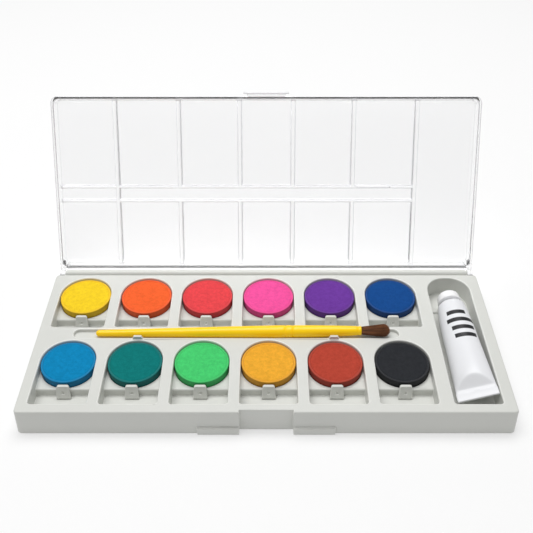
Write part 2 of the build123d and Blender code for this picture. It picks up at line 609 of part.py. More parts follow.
def hinge_arm(side: int) -> Part:
    """One arm at a rear corner of the lid, with the pin that turns in the tray's rail."""
    clear_y = HINGE_Y - ARM_RADIUS
    outline = Polygon(
        (LID_REAR_Y - ARM_LENGTH, LID_RIM_Z), (LID_REAR_Y - ARM_LENGTH, LID_RIM_Z + ARM_HEIGHT),
        (LID_REAR_Y, LID_RIM_Z + ARM_HEIGHT), (HINGE_Y + ARM_RADIUS, HINGE_Z + ARM_RADIUS / 2),
        (HINGE_Y + ARM_RADIUS, HINGE_Z), (clear_y, HINGE_Z), (clear_y, LID_RIM_Z), align=None,
    )
    outline = outline + Pos(HINGE_Y, HINGE_Z) * Circle(ARM_RADIUS)
    plate = extrude(Plane.YZ * outline, ARM_WIDTH / 2, both=True)
    plate = Pos(LID_HALF_WIDTH - ARM_WIDTH / 2, 0, 0) * plate
    pin_length = ARM_WIDTH + PIN_LENGTH
    pin = Rot(0, 90, 0) * Cylinder(PIN_RADIUS, pin_length)
    arm = plate + Pos(LID_HALF_WIDTH - pin_length / 2, HINGE_Y, HINGE_Z) * pin
    return arm if side > 0 else mirror(arm, Plane.YZ)


def lid() -> Part:
    """The whole clear moulding, turned about its hinge to the open stop."""
    closed = lid_shell() + lid_ribs() + latch_tab() + hinge_arm(1) + hinge_arm(-1)
    to_hinge = Pos(0, HINGE_Y, HINGE_Z)
    return to_hinge * Rot(-LID_OPEN_ANGLE, 0, 0) * Pos(0, -HINGE_Y, -HINGE_Z) * closed


def save(name: str, shape: Part) -> None:
    """Write one node."""
    export_step(shape, f"parts/{name}.step")


save("tray", tray())
clip_blade = clip()
cup_shape = pan_cup()
cake_shape = paint_cake()
for row, number, colour, _, x, y in pan_places():
    save(f"clip_{row}_{number}", Pos(x, y - CLIP_FOOT_REACH, CLIP_FOOT_Z) * clip_blade)
    save(f"pan_{colour}", Pos(x, y, PAN_SEAT_Z) * cup_shape)
    save(f"paint_{colour}", Pos(x, y, PAN_SEAT_Z) * cake_shape)
on_brush_axis = Pos(0, BRUSH_Y, BRUSH_Z) * Rot(0, -BRUSH_TILT, 0)
save("brush_handle", on_brush_axis * brush_handle())
save("brush_ferrule", on_brush_axis * brush_ferrule())
save("brush_bristles", on_brush_axis * brush_bristles())
save("paint_tube", paint_tube())
save("tube_cap", tube_cap())
save("lid", lid())
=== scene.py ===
"""Watercolor travel box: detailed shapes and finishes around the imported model.

Sizes are in millimetres where they are named, and every mesh is written in metres in the model's own frame:
+X right, +Y back, +Z up, with the origin on the plane that the tray stands on.
"""
import logging
from dataclasses import dataclass
from enum import Enum
from math import cos, pi, radians, sin, sqrt
from typing import Callable, Sequence

import bmesh
import bpy
from mathutils import Matrix, Vector, noise


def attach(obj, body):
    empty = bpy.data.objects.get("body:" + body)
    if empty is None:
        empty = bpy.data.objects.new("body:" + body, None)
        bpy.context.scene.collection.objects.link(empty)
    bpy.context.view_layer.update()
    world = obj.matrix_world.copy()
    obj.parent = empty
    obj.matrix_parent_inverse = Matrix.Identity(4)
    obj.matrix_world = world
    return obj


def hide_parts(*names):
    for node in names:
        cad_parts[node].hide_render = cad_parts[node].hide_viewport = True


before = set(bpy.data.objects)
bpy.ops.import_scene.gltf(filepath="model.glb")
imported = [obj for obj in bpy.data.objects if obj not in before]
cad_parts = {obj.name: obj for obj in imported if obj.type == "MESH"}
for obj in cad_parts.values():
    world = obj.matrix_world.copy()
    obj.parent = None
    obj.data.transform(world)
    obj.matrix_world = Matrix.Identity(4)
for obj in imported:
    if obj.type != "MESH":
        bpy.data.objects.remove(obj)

MM = 0.001
UV_NAME = "surface"
UV_SCALE = 100.0
TOP_LINE = 0.5
SHARP_ANGLE = 32.0
FLAT_ANGLE = 0.6
WELD = 1e-6
Colour = tuple[float, float, float]
CAMERA_PLACE = Vector((0.00015, -0.305, 0.3239))
TUBE_NECK = Vector((110.2, 27.4, 12.2))
log = logging.getLogger("travel_box")


# Node graphs
class Value:
    """A socket of a node tree that takes part in Python expressions, each of which adds its Math node."""

    def __init__(self, graph: "Graph", socket: bpy.types.NodeSocket) -> None:
        """Wraps an output socket of one graph."""
        self.graph = graph
        self.socket = socket

    def output(self, key: str | int) -> "Value":
        """Another output of the same node."""
        return Value(self.graph, find_socket(self.socket.node.outputs, key))

    def __add__(self, other: "Value | float") -> "Value":
        """This value plus another."""
        return self.graph.math("ADD", self, other)

    def __radd__(self, other: float) -> "Value":
        """A number plus this value."""
        return self.graph.math("ADD", other, self)

    def __sub__(self, other: "Value | float") -> "Value":
        """This value less another."""
        return self.graph.math("SUBTRACT", self, other)

    def __rsub__(self, other: float) -> "Value":
        """A number less this value."""
        return self.graph.math("SUBTRACT", other, self)

    def __mul__(self, other: "Value | float") -> "Value":
        """This value times another."""
        return self.graph.math("MULTIPLY", self, other)

    def __rmul__(self, other: float) -> "Value":
        """A number times this value."""
        return self.graph.math("MULTIPLY", other, self)

    def __truediv__(self, other: "Value | float") -> "Value":
        """This value over another."""
        return self.graph.math("DIVIDE", self, other)

    def __pow__(self, other: "Value | float") -> "Value":
        """This value to a power."""
        return self.graph.math("POWER", self, other)

    def step(self, low: float, high: float) -> "Value":
        """Rises smoothly from 0 at low to 1 at high."""
        sockets = {"Value": self, "From Min": low, "From Max": high}
        return self.graph.add("ShaderNodeMapRange", {"interpolation_type": "SMOOTHSTEP"}, sockets)


class Graph:
    """Builds one node tree, for a material or for geometry."""

    def __init__(self, tree: bpy.types.NodeTree) -> None:
        """Starts on an existing tree and clears it."""
        self.tree = tree
        tree.nodes.clear()

    def add(
        self, kind: str, settings: dict | None = None, sockets: dict | None = None, output: str | int = 0,
    ) -> Value:
        """Adds a node.

        Args:
            kind: The node's type name.
            settings: Properties that are set first.
            sockets: Values or links for the inputs, by identifier, name or number.
            output: Which output the returned value reads.

        Returns:
            The chosen output, or the first input of a node that has no outputs.
        """
        node = self.tree.nodes.new(kind)
        for name, value in (settings or {}).items():
            setattr(node, name, value)
        for key, value in (sockets or {}).items():
            self.feed(find_socket(node.inputs, key), value)
        if len(node.outputs) == 0:
            return Value(self, node.inputs[0])
        return Value(self, find_socket(node.outputs, output))

    def feed(self, socket: bpy.types.NodeSocket, value: object) -> None:
        """Links a value to an input, or sets the input's own number or colour."""
        if isinstance(value, Value):
            self.tree.links.new(value.socket, socket)
        elif socket.type == "RGBA":
            socket.default_value = (*value, 1.0)
        else:
            socket.default_value = value

    def math(self, operation: str, *operands: "Value | float") -> Value:
        """One Math node on the operands."""
        return self.add("ShaderNodeMath", {"operation": operation}, dict(enumerate(operands)))

    def mix(self, factor: "Value | float", first: object, second: object) -> Value:
        """A colour between two others."""
        sockets = {"Factor_Float": factor, "A_Color": first, "B_Color": second}
        return self.add("ShaderNodeMix", {"data_type": "RGBA"}, sockets, "Result_Color")

    def place(self) -> Value:
        """The object's own coordinates, in metres."""
        return self.add("ShaderNodeTexCoord", output="Object")

    def surface_uv(self) -> Value:
        """The piece's own coordinates along and around its surface."""
        return self.add("ShaderNodeUVMap", {"uv_map": UV_NAME})

    def noise(self, where: Value, scale: float, detail: float = 3.0, roughness: float = 0.55) -> Value:
        """Soft noise from 0 to 1."""
        sockets = {"Vector": where, "Scale": scale, "Detail": detail, "Roughness": roughness}
        return self.add("ShaderNodeTexNoise", None, sockets, "Fac")

    def stretched(self, where: Value, scale: tuple[float, float, float]) -> Value:
        """Coordinates scaled differently along each axis."""
        return self.add("ShaderNodeMapping", None, {"Vector": where, "Scale": scale})

    def bump(self, height: Value, distance: float) -> Value:
        """A surface normal from a height field; distance is in metres."""
        sockets = {"Height": height, "Distance": distance, "Strength": 1.0}
        return self.add("ShaderNodeBump", None, sockets, "Normal")


def find_socket(sockets: Sequence, key: str | int) -> bpy.types.NodeSocket:
    """The socket with that number, identifier or name."""
    if isinstance(key, int):
        return sockets[key]
    for socket in sockets:
        if socket.identifier == key:
            return socket
    return next(socket for socket in sockets if socket.name == key)


# Finishes
@dataclass(frozen=True)
class Finish:
    """A named surface finish."""

    name: str
    colour: Colour

    def material(self) -> bpy.types.Material:
        """The finish's material, made the first time that it is asked for."""
        found = bpy.data.materials.get(self.name)
        if found is not None:
            return found
        made = bpy.data.materials.new(self.name)
        made.use_nodes = True
        made.diffuse_color = (*self.colour, 1.0)
        graph = Graph(made.node_tree)
        shader = graph.add("ShaderNodeBsdfPrincipled", None, self.sockets(graph), "BSDF")
        graph.add("ShaderNodeOutputMaterial", None, {"Surface": shader})
        return made

    def sockets(self, graph: Graph) -> dict:
        """Values and links for the shader's inputs."""
        raise NotImplementedError


@dataclass(frozen=True)
class MouldedPlastic(Finish):
    """Injection-moulded plastic with a fine eroded grain and faint handling marks."""

    roughness: float = 0.38
    mottle: float = 0.04
    grain: float = 0.00002
    grain_scale: float = 2600.0
    specular: float = 0.5

    def sockets(self, graph: Graph) -> dict:
        """Values and links for the shader's inputs."""
        where = graph.place()
        broad = graph.noise(where, 28.0)
        fine = graph.noise(where, self.grain_scale, 2.0)
        scuffs = graph.noise(graph.stretched(where, (180.0, 900.0, 300.0)), 1.0, 4.0, 0.6).step(0.6, 0.78)
        darker = tuple(c * (1 - self.mottle) for c in self.colour)
        lighter = tuple(min(1.0, c * (1 + self.mottle)) for c in self.colour)
        return {
            "Base Color": graph.mix(broad, darker, lighter),
            "Roughness": self.roughness + 0.05 * fine + 0.06 * scuffs,
            "Specular IOR Level": self.specular,
            "Normal": graph.bump(fine, self.grain),
        }


@dataclass(frozen=True)
class ClearPlastic(Finish):
    """Clear polished polystyrene with hairline scratches."""

    roughness: float = 0.015
    index: float = 1.56
    clearness: float = 0.95

    def sockets(self, graph: Graph) -> dict:
        """Values and links for the shader's inputs."""
        where = graph.place()
        hairs = graph.noise(graph.stretched(where, (1800.0, 90.0, 200.0)), 1.0, 2.0).step(0.66, 0.8)
        waves = graph.noise(where, 34.0, 1.0)
        return {
            "Base Color": self.colour,
            "Roughness": self.roughness + 0.05 * hairs,
            "IOR": self.index,
            "Transmission Weight": self.clearness,
            "Normal": graph.bump(waves, 0.00006),
        }


@dataclass(frozen=True)
class DryPaint(Finish):
    """Pressed watercolour: matte, mottled and finely pitted."""

    deep: float = 0.8

    def sockets(self, graph: Graph) -> dict:
        """Values and links for the shader's inputs."""
        where = graph.place()
        clouds = graph.noise(where, 520.0, 5.0, 0.7)
        grit = graph.noise(where, 1700.0, 3.0, 0.7)
        shade = tuple(c * self.deep for c in self.colour)
        light = tuple(min(1.0, c * (2 - self.deep) + 0.004) for c in self.colour)
        return {
            "Base Color": graph.mix(0.6 * clouds.step(0.25, 0.75) + 0.4 * grit.step(0.2, 0.8), shade, light),
            "Roughness": 0.82 + 0.12 * clouds,
            "Specular IOR Level": 0.1,
            "Normal": graph.bump(0.6 * grit + 0.4 * clouds, 0.00008),
        }


@dataclass(frozen=True)
class PanWall(Finish):
    """The pan's wall: the paint's colour, with fine upright marks of the mould on its side and painted shade
    that darkens that side.
    """

    side_start: float = 0.0
    side_end: float = 1.0
    blend: float = 0.01

    def sockets(self, graph: Graph) -> dict:
        """Values and links for the shader's inputs."""
        where = graph.place()
        split = graph.add("ShaderNodeSeparateXYZ", None, {"Vector": graph.surface_uv()})
        along = split.output("Y")
        above_foot = along.step(self.side_start, self.side_start + self.blend)
        side = above_foot * (1 - along.step(self.side_end - self.blend, self.side_end))
        marks = graph.noise(graph.stretched(graph.surface_uv(), (420.0, 3.0, 1.0)), 1.0, 2.0)
        grit = graph.noise(where, 1500.0, 3.0, 0.7)
        shade = tuple(c * 0.93 for c in self.colour)
        # Painted shade: the pan's outer side is darkened to as little as half the paint's colour, with the
        # mould's marks drawn between the darker and lighter tones.
        side_painted_shade = tuple(c * 0.5 for c in self.colour)
        body = graph.mix(grit, shade, self.colour)
        side_marks_and_painted_shade = graph.mix(marks, side_painted_shade, shade)
        return {
            "Base Color": graph.mix(side, body, side_marks_and_painted_shade),
            "Roughness": 0.62 + 0.2 * grit,
            "Specular IOR Level": 0.35,
            "Normal": graph.bump(side * marks + (1 - side) * grit, 0.00009),
        }


@dataclass(frozen=True)
class Lacquer(Finish):
    """Glossy lacquer with a little orange peel and a painted glow: an emission that stands in for the light
    that scatters inside it.
    """

    glow: float = 0.13

    def sockets(self, graph: Graph) -> dict:
        """Values and links for the shader's inputs."""
        where = graph.place()
        peel = graph.noise(where, 420.0, 2.0)
        streaks = graph.noise(graph.stretched(where, (20.0, 700.0, 700.0)), 1.0, 3.0)
        deep = (self.colour[0] * 0.97, self.colour[1] * 0.86, self.colour[2])
        return {
            "Base Color": graph.mix(streaks, deep, self.colour),
            "Roughness": 0.3 + 0.08 * peel,
            "Specular IOR Level": 0.35,
            "Coat Weight": 0.2,
            "Coat Roughness": 0.06,
            # Painted glow: the lacquer gives off a little orange light of its own in place of the light that
            # scatters inside it.
            "Emission Color": (1.0, 0.52, 0.0),
            "Emission Strength": self.glow,
            "Normal": graph.bump(peel, 0.00003),
        }


@dataclass(frozen=True)
class Hair(Finish):
    """Brown hair, each strand with its own shade."""

    dark: Colour = (0.022, 0.008, 0.003)

    def sockets(self, graph: Graph) -> dict:
        """Values and links for the shader's inputs."""
        strand = graph.add("ShaderNodeAttribute", {"attribute_name": "strand"}, output="Fac")
        along = graph.add("ShaderNodeAttribute", {"attribute_name": "along"}, output="Fac")
        locks = graph.noise(graph.stretched(graph.place(), (60.0, 1500.0, 1500.0)), 1.0, 2.0)
        tone = (0.4 * strand + 0.9 * locks + 0.15 * along).step(0.4, 1.05)
        return {
            "Base Color": graph.mix(tone, self.dark, self.colour),
            "Roughness": 0.42 + 0.2 * strand,
            "Specular IOR Level": 0.45,
        }


@dataclass(frozen=True)
class PrintedTube(Finish):
    """Satin white laminate with four plain dark bars where a label would be."""

    ink: Colour = (0.012, 0.012, 0.014)
    bars: tuple = ((10.4, 10.5, 1.6), (16.2, 16.0, 3.4), (22.0, 12.5, 3.4), (27.8, 12.0, 3.6))
    bar_height: float = 2.9
    blur: float = 0.1

    def sockets(self, graph: Graph) -> dict:
        """Values and links for the shader's inputs."""
        split = graph.add("ShaderNodeSeparateXYZ", None, {"Vector": graph.surface_uv()})
        across = (split.output("X") - TOP_LINE) * UV_SCALE
        along = split.output("Y") * UV_SCALE
        printed = None
        for middle, width, shift in self.bars:
            offset_along = graph.math("ABSOLUTE", along - middle)
            offset_across = graph.math("ABSOLUTE", across - shift)
            half_height = self.bar_height / 2
            inside_along = 1 - offset_along.step(half_height - self.blur, half_height + self.blur)
            inside_across = 1 - offset_across.step(width / 2 - self.blur, width / 2 + self.blur)
            bar = inside_along * inside_across
            printed = bar if printed is None else graph.math("MAXIMUM", printed, bar)
        where = graph.place()
        dents = graph.noise(where, 55.0, 2.0)
        fine = graph.noise(where, 1800.0, 2.0)
        cool = tuple(c * 0.97 for c in self.colour)
        white = graph.mix(dents, cool, self.colour)
        return {
            "Base Color": graph.mix(printed, white, self.ink),
            "Roughness": 0.3 + 0.08 * fine,
            "Normal": graph.bump(dents + 0.04 * fine, 0.0003),
        }


@dataclass(frozen=True)
class Backdrop(Finish):
    """A lit white backdrop: matte, with a glow of its own that keeps it even."""

    glow: float = 0.45

    def sockets(self, graph: Graph) -> dict:
        """Values and links for the shader's inputs."""
        return {
            "Base Color": self.colour,
            "Roughness": 1.0,
            "Specular IOR Level": 0.0,
            "Emission Color": (1.0, 1.0, 1.0),
            "Emission Strength": self.glow,
        }


class Paint(Enum):
    """The twelve paints, by colour word, with the colour of the dry cake."""

    CYAN = ("cyan", (0.00093, 0.223, 0.465))
    TEAL = ("teal", (0.00093, 0.174, 0.167))
    GREEN = ("green", (0.0605, 0.577, 0.155))
    OCHRE = ("ochre", (0.818, 0.391, 0.0312))
    BRICK = ("brick", (0.446, 0.0558, 0.0326))
    BLACK = ("black", (0.0228, 0.0246, 0.0288))
    YELLOW = ("yellow", (0.921, 0.595, 0.0172))
    ORANGE = ("orange", (0.902, 0.121, 0.027))
    RED = ("red", (0.744, 0.0595, 0.0688))
    PINK = ("pink", (0.865, 0.0828, 0.326))
    VIOLET = ("violet", (0.14, 0.0377, 0.307))
    BLUE = ("blue", (0.00465, 0.0614, 0.245))

    def __init__(self, word: str, cake: Colour) -> None:
        """Names the parts of one entry."""
        self.word = word
        self.cake = cake


class Row(Enum):
    """The two rows of pans: name, y of the pan centres and the paints from left to right."""

    FRONT = ("front", -17.8, (Paint.CYAN, Paint.TEAL, Paint.GREEN, Paint.OCHRE, Paint.BRICK, Paint.BLACK))
    REAR = ("rear", 35.7, (Paint.YELLOW, Paint.ORANGE, Paint.RED, Paint.PINK, Paint.VIOLET, Paint.BLUE))

    def __init__(self, word: str, y: float, paints: tuple) -> None:
        """Names the parts of one entry."""
        self.word = word
        self.y = y
        self.paints = paints


TRAY_GREY = MouldedPlastic("warm_grey_styrene", (0.68, 0.687, 0.652), specular=0.4)
# The rounded edges of the tray and the clips get a lighter grey: a painted highlight along every edge.
TRAY_EDGE_HIGHLIGHT = MouldedPlastic("warm_grey_styrene_painted_edge_highlight", (0.79, 0.797, 0.76), roughness=0.26, specular=0.5)
LID_CLEAR = ClearPlastic("clear_styrene", (0.985, 0.986, 0.99))
# The lid's rounded edges are made mostly opaque and light grey: a painted reflection in place of the light
# that the clear edges bend and reflect.
LID_EDGE_REFLECTION = ClearPlastic("clear_styrene_painted_edge_reflection", (0.93, 0.93, 0.96), roughness=0.12, clearness=0.3)
BRUSH_YELLOW = Lacquer("yellow_lacquer", (1.0, 0.70, 0.0))
BRUSH_HAIR = Hair("brown_hair", (0.36, 0.135, 0.048))
TUBE_WHITE = PrintedTube("white_laminate", (0.85, 0.857, 0.88))
CAP_WHITE = MouldedPlastic("white_cap_plastic", (0.94, 0.94, 0.945), roughness=0.3, mottle=0.01, grain=1e-5)


# Mesh helpers
def surface_object(
    name: str, mesh_source: bmesh.types.BMesh, finish: Finish, sharp: float = 40.0,
) -> bpy.types.Object:
    """Makes an object of a finished bmesh.

    Args:
        name: The piece's name.
        mesh_source: The mesh, in metres; it is freed here.
        finish: The surface finish.
        sharp: Edges that turn more than this many degrees stay sharp.

    Returns:
        The new object, linked to the scene.
    """
    mesh = bpy.data.meshes.new(name)
    mesh_source.to_mesh(mesh)
    mesh_source.free()
    mesh.materials.clear()
    mesh.materials.append(finish.material())
    mesh.polygons.foreach_set("use_smooth", [True] * len(mesh.polygons))
    mesh.set_sharp_from_angle(angle=radians(sharp))
    made = bpy.data.objects.new(name, mesh)
    bpy.context.scene.collection.objects.link(made)
    return made


def skin(
    rings: Sequence[Sequence[Vector]], uv: Callable[[int, int], tuple] | None = None,
) -> bmesh.types.BMesh:
    """A closed surface through rings of points in millimetres, with a pole at each end.

    Args:
        rings: Rings with the same number of points, from one end to the other.
        uv: Gives the surface coordinates of point j on ring i; j may equal the ring's count.

    Returns:
        The mesh in metres, its faces pointing out.
    """
    count = len(rings[0])
    last = len(rings) - 1
    uv = uv or (lambda i, j: (j / count, i / last))
    bm = bmesh.new()
    layer = bm.loops.layers.uv.new(UV_NAME)
    points = [[bm.verts.new(point * MM) for point in ring] for ring in rings]
    poles = [bm.verts.new(sum(ring, Vector()) / count * MM) for ring in (rings[0], rings[-1])]
    for i in range(last):
        for j in range(count):
            k = (j + 1) % count
            face = bm.faces.new((points[i][j], points[i][k], points[i + 1][k], points[i + 1][j]))
            steps = ((i, j), (i, j + 1), (i + 1, j + 1), (i + 1, j))
            for loop, corner in zip(face.loops, steps):
                loop[layer].uv = uv(*corner)
    for i, pole in ((0, poles[0]), (last, poles[1])):
        for j in range(count):
            face = bm.faces.new((points[i][j], points[i][(j + 1) % count], pole))
            for loop, corner in zip(face.loops, ((i, j), (i, j + 1), (i, j))):
                loop[layer].uv = uv(*corner)
    bmesh.ops.recalc_face_normals(bm, faces=bm.faces)
    return bm


def turned(
    profile: Sequence[tuple[float, float]], middle: Vector, axis: str, segments: int = 96,
) -> bmesh.types.BMesh:
    """A lathe-turned surface from a profile of (radius, height) points about an axis through a point.

    Args:
        profile: Radius and height of each ring, in millimetres.
        middle: Where height 0 lies.
        axis: "X", "Y" or "Z".
        segments: Points round each ring.

    Returns:
        The closed mesh in metres.
    """
    frames = {
        "X": (Vector((0, 1, 0)), Vector((0, 0, 1)), Vector((1, 0, 0))),
        "Y": (Vector((1, 0, 0)), Vector((0, 0, 1)), Vector((0, 1, 0))),
        "Z": (Vector((1, 0, 0)), Vector((0, 1, 0)), Vector((0, 0, 1))),
    }
    right, up, along = frames[axis]
    rings = []
    for radius, height in profile:
        start = middle + along * height
        angles = [2 * pi * j / segments for j in range(segments)]
        rings.append([start + radius * (cos(a) * right + sin(a) * up) for a in angles])
    return skin(rings)


def cad_copy(
    node: str, name: str, finish: Finish, rounding: float, edge_painted_light: Finish | None = None,
    rounded: Callable[[Vector], bool] | None = None,
) -> bpy.types.Object:
    """A welded copy of a CAD node with its flat faces joined and its sharp edges rounded.

    Args:
        node: The CAD node.
        name: The new piece's name.
        finish: The surface finish.
        rounding: Width of the rounding in millimetres.
        edge_painted_light: The finish of the rounded edges, if it differs; its colour paints the light that
            the rounded edges catch.
        rounded: Tells from an edge's middle, in millimetres, whether it is rounded; all are without it.

    Returns:
        The new object.
    """
    bm = bmesh.new()
    bm.from_mesh(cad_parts[node].data)
    bmesh.ops.remove_doubles(bm, verts=bm.verts, dist=WELD)
    bmesh.ops.dissolve_limit(bm, angle_limit=radians(FLAT_ANGLE), verts=bm.verts, edges=bm.edges)
    weight = bm.edges.layers.float.new("bevel_weight_edge")
    for edge in bm.edges:
        middle = (edge.verts[0].co + edge.verts[1].co) / 2 / MM
        sharp = edge.is_manifold and edge.calc_face_angle() > radians(SHARP_ANGLE)
        edge[weight] = float(sharp and (rounded is None or rounded(middle)))
    made = surface_object(name, bm, finish, SHARP_ANGLE)
    bevel = made.modifiers.new("rounding", "BEVEL")
    bevel.width = rounding * MM
    bevel.segments = 2
    bevel.limit_method = "WEIGHT"
    bevel.use_clamp_overlap = False
    split = made.modifiers.new("split", "TRIANGULATE")
    split.ngon_method = "BEAUTY"
    split.min_vertices = 5
    shading = made.modifiers.new("shading", "WEIGHTED_NORMAL")
    shading.keep_sharp = True
    shading.weight = 100
    # The rounded edges get the second material, whose colour is painted light along the edges.
    if edge_painted_light is not None:
        made.data.materials.append(edge_painted_light.material())
        bevel.material = 1
    return made


def settle(piece: bpy.types.Object, body: str, slot: str, *nodes: str) -> None:
    """Puts a finished piece on its body and in place of its CAD nodes, and reports it."""
    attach(piece, body)
    if nodes:
        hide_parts(*nodes)
    log.info("%s rides on %s for %s", piece.name, body, ", ".join(nodes))


# Sub-assemblies
@dataclass
class Tray:
    """The grey moulding."""

    rounding: float = 0.25
    thin_places: tuple = ((36.0, -53.2, 1.6), (14.2, -54.8, 4.8), (14.1, -54.5, 16.0))
    thin_width: float = 0.06
    thin_depth: float = 0.2

    def rounded(self, middle: Vector) -> bool:
        """Whether an edge is rounded: not in or beside the thin wedges where the finger lips end."""
        for x, y, top in self.thin_places:
            across = abs(abs(middle.x) - x) < self.thin_width
            if across and abs(middle.y - y) < self.thin_depth and middle.z < top:
                return False
        return True

    def build(self) -> None:
        """Builds and places the tray."""
        moulding = cad_copy("tray", "tray_moulding", TRAY_GREY, self.rounding, TRAY_EDGE_HIGHLIGHT, self.rounded)
        settle(moulding, "tray_body", "tray_plastic", "tray")


@dataclass
class Lid:
    """The clear cover with its ribs, tab and hinge arms."""

    rounding: float = 0.4
    hinge_y: float = 56.5
    hinge_z: float = 14.9
    hinge_reach: float = 12.5

    def beyond_hinge(self, middle: Vector) -> bool:
        """Whether an edge lies farther from the hinge's axis than the rear wall does."""
        return (middle.yz - Vector((self.hinge_y, self.hinge_z))).length > self.hinge_reach

    def build(self) -> None:
        """Builds and places the lid."""
        cover = cad_copy("lid", "lid_cover", LID_CLEAR, self.rounding, LID_EDGE_REFLECTION, self.beyond_hinge)
        cover.visible_shadow = False
        settle(cover, "lid_body", "lid_clear", "lid")


@dataclass
class PanStation:
    """One pan of paint and the spring clip in front of it."""

    row: Row
    number: int
    paint: Paint
    first_x: float = -108.5
    pitch: float = 36.6
    seat_z: float = 7.7
    radius: float = 15.0
    foot_radius: float = 14.7
    height: float = 7.0
    wall: float = 1.3
    floor: float = 1.0
    side_band: tuple[float, float] = (3.6, 6.2)
    recess: float = 0.07
    relief: float = 0.09
    wave_scale: float = 0.16
    dome: float = 0.08
    cake_rings: int = 22
    clip_rounding: float = 0.25

    @property
    def middle(self) -> Vector:
        """The middle of the pan's foot."""
        return Vector((self.first_x + self.pitch * (self.number - 1), self.row.y, self.seat_z))

    def cup(self) -> bpy.types.Object:
        """The pan: a low round cup with an eased rim."""
        inner = self.radius - self.wall
        profile = [
            (self.foot_radius - 2.0, 0.25), (self.foot_radius - 1.6, 0.0), (self.foot_radius - 0.4, 0.0),
            (self.foot_radius - 0.1, 0.12), (self.foot_radius, 0.4),
            (self.radius - 0.05, self.height - 0.6), (self.radius - 0.1, self.height - 0.3),
            (self.radius - 0.24, self.height - 0.1), (self.radius - 0.45, self.height),
            (inner + 0.3, self.height - 0.02), (inner + 0.1, self.height - 0.05), (inner, self.height - 0.14),
            (inner, self.floor), (inner - 0.5, self.floor),
        ]
        start, end = (place / (len(profile) - 1) for place in self.side_band)
        finish = PanWall(f"pan_wall_{self.paint.word}", self.paint.cake, start, end)
        return surface_object(f"{self.paint.word}_pan", turned(profile, self.middle, "Z", 120), finish)

    def cake(self) -> bpy.types.Object:
        """The paint: a pressed cake with an uneven, slightly domed top."""
        radius = self.radius - self.wall - 0.02
        top = self.height - self.recess
        profile = [(radius - 0.5, self.floor + 0.05), (radius, self.floor + 0.3), (radius, top - 0.2)]
        profile += [(radius - 0.05, top - 0.06), (radius - 0.2, top)]
        for i in range(1, self.cake_rings):
            share = 1 - i / self.cake_rings
            profile.append(((radius - 0.5) * share, top + self.dome * (1 - share ** 2)))
        bm = turned(profile, self.middle, "Z", 96)
        low = (self.seat_z + top - 0.1) * MM
        seed = Vector((self.number * 3.7, self.row.y, 0.0))
        for vert in bm.verts:
            if vert.co.z > low:
                where = vert.co / MM
                wave = noise.fractal(where * self.wave_scale + seed, 0.8, 2.0, 4)
                vert.co.z += self.relief * MM * wave
        finish = DryPaint(f"dry_{self.paint.word}", self.paint.cake)
        return surface_object(f"{self.paint.word}_paint", bm, finish, 60)

    def build(self) -> None:
        """Builds and places the pan, its paint and its clip."""
        word = self.paint.word
        settle(self.cup(), f"{word}_pan_body", f"pan_{word}", f"pan_{word}")
        settle(self.cake(), f"{word}_pan_body", f"paint_{word}", f"paint_{word}")
        node = f"clip_{self.row.word}_{self.number}"
        blade = cad_copy(node, f"{node}_blade", TRAY_GREY, self.clip_rounding, TRAY_EDGE_HIGHLIGHT)
        settle(blade, f"{node}_body", "tray_plastic", node)


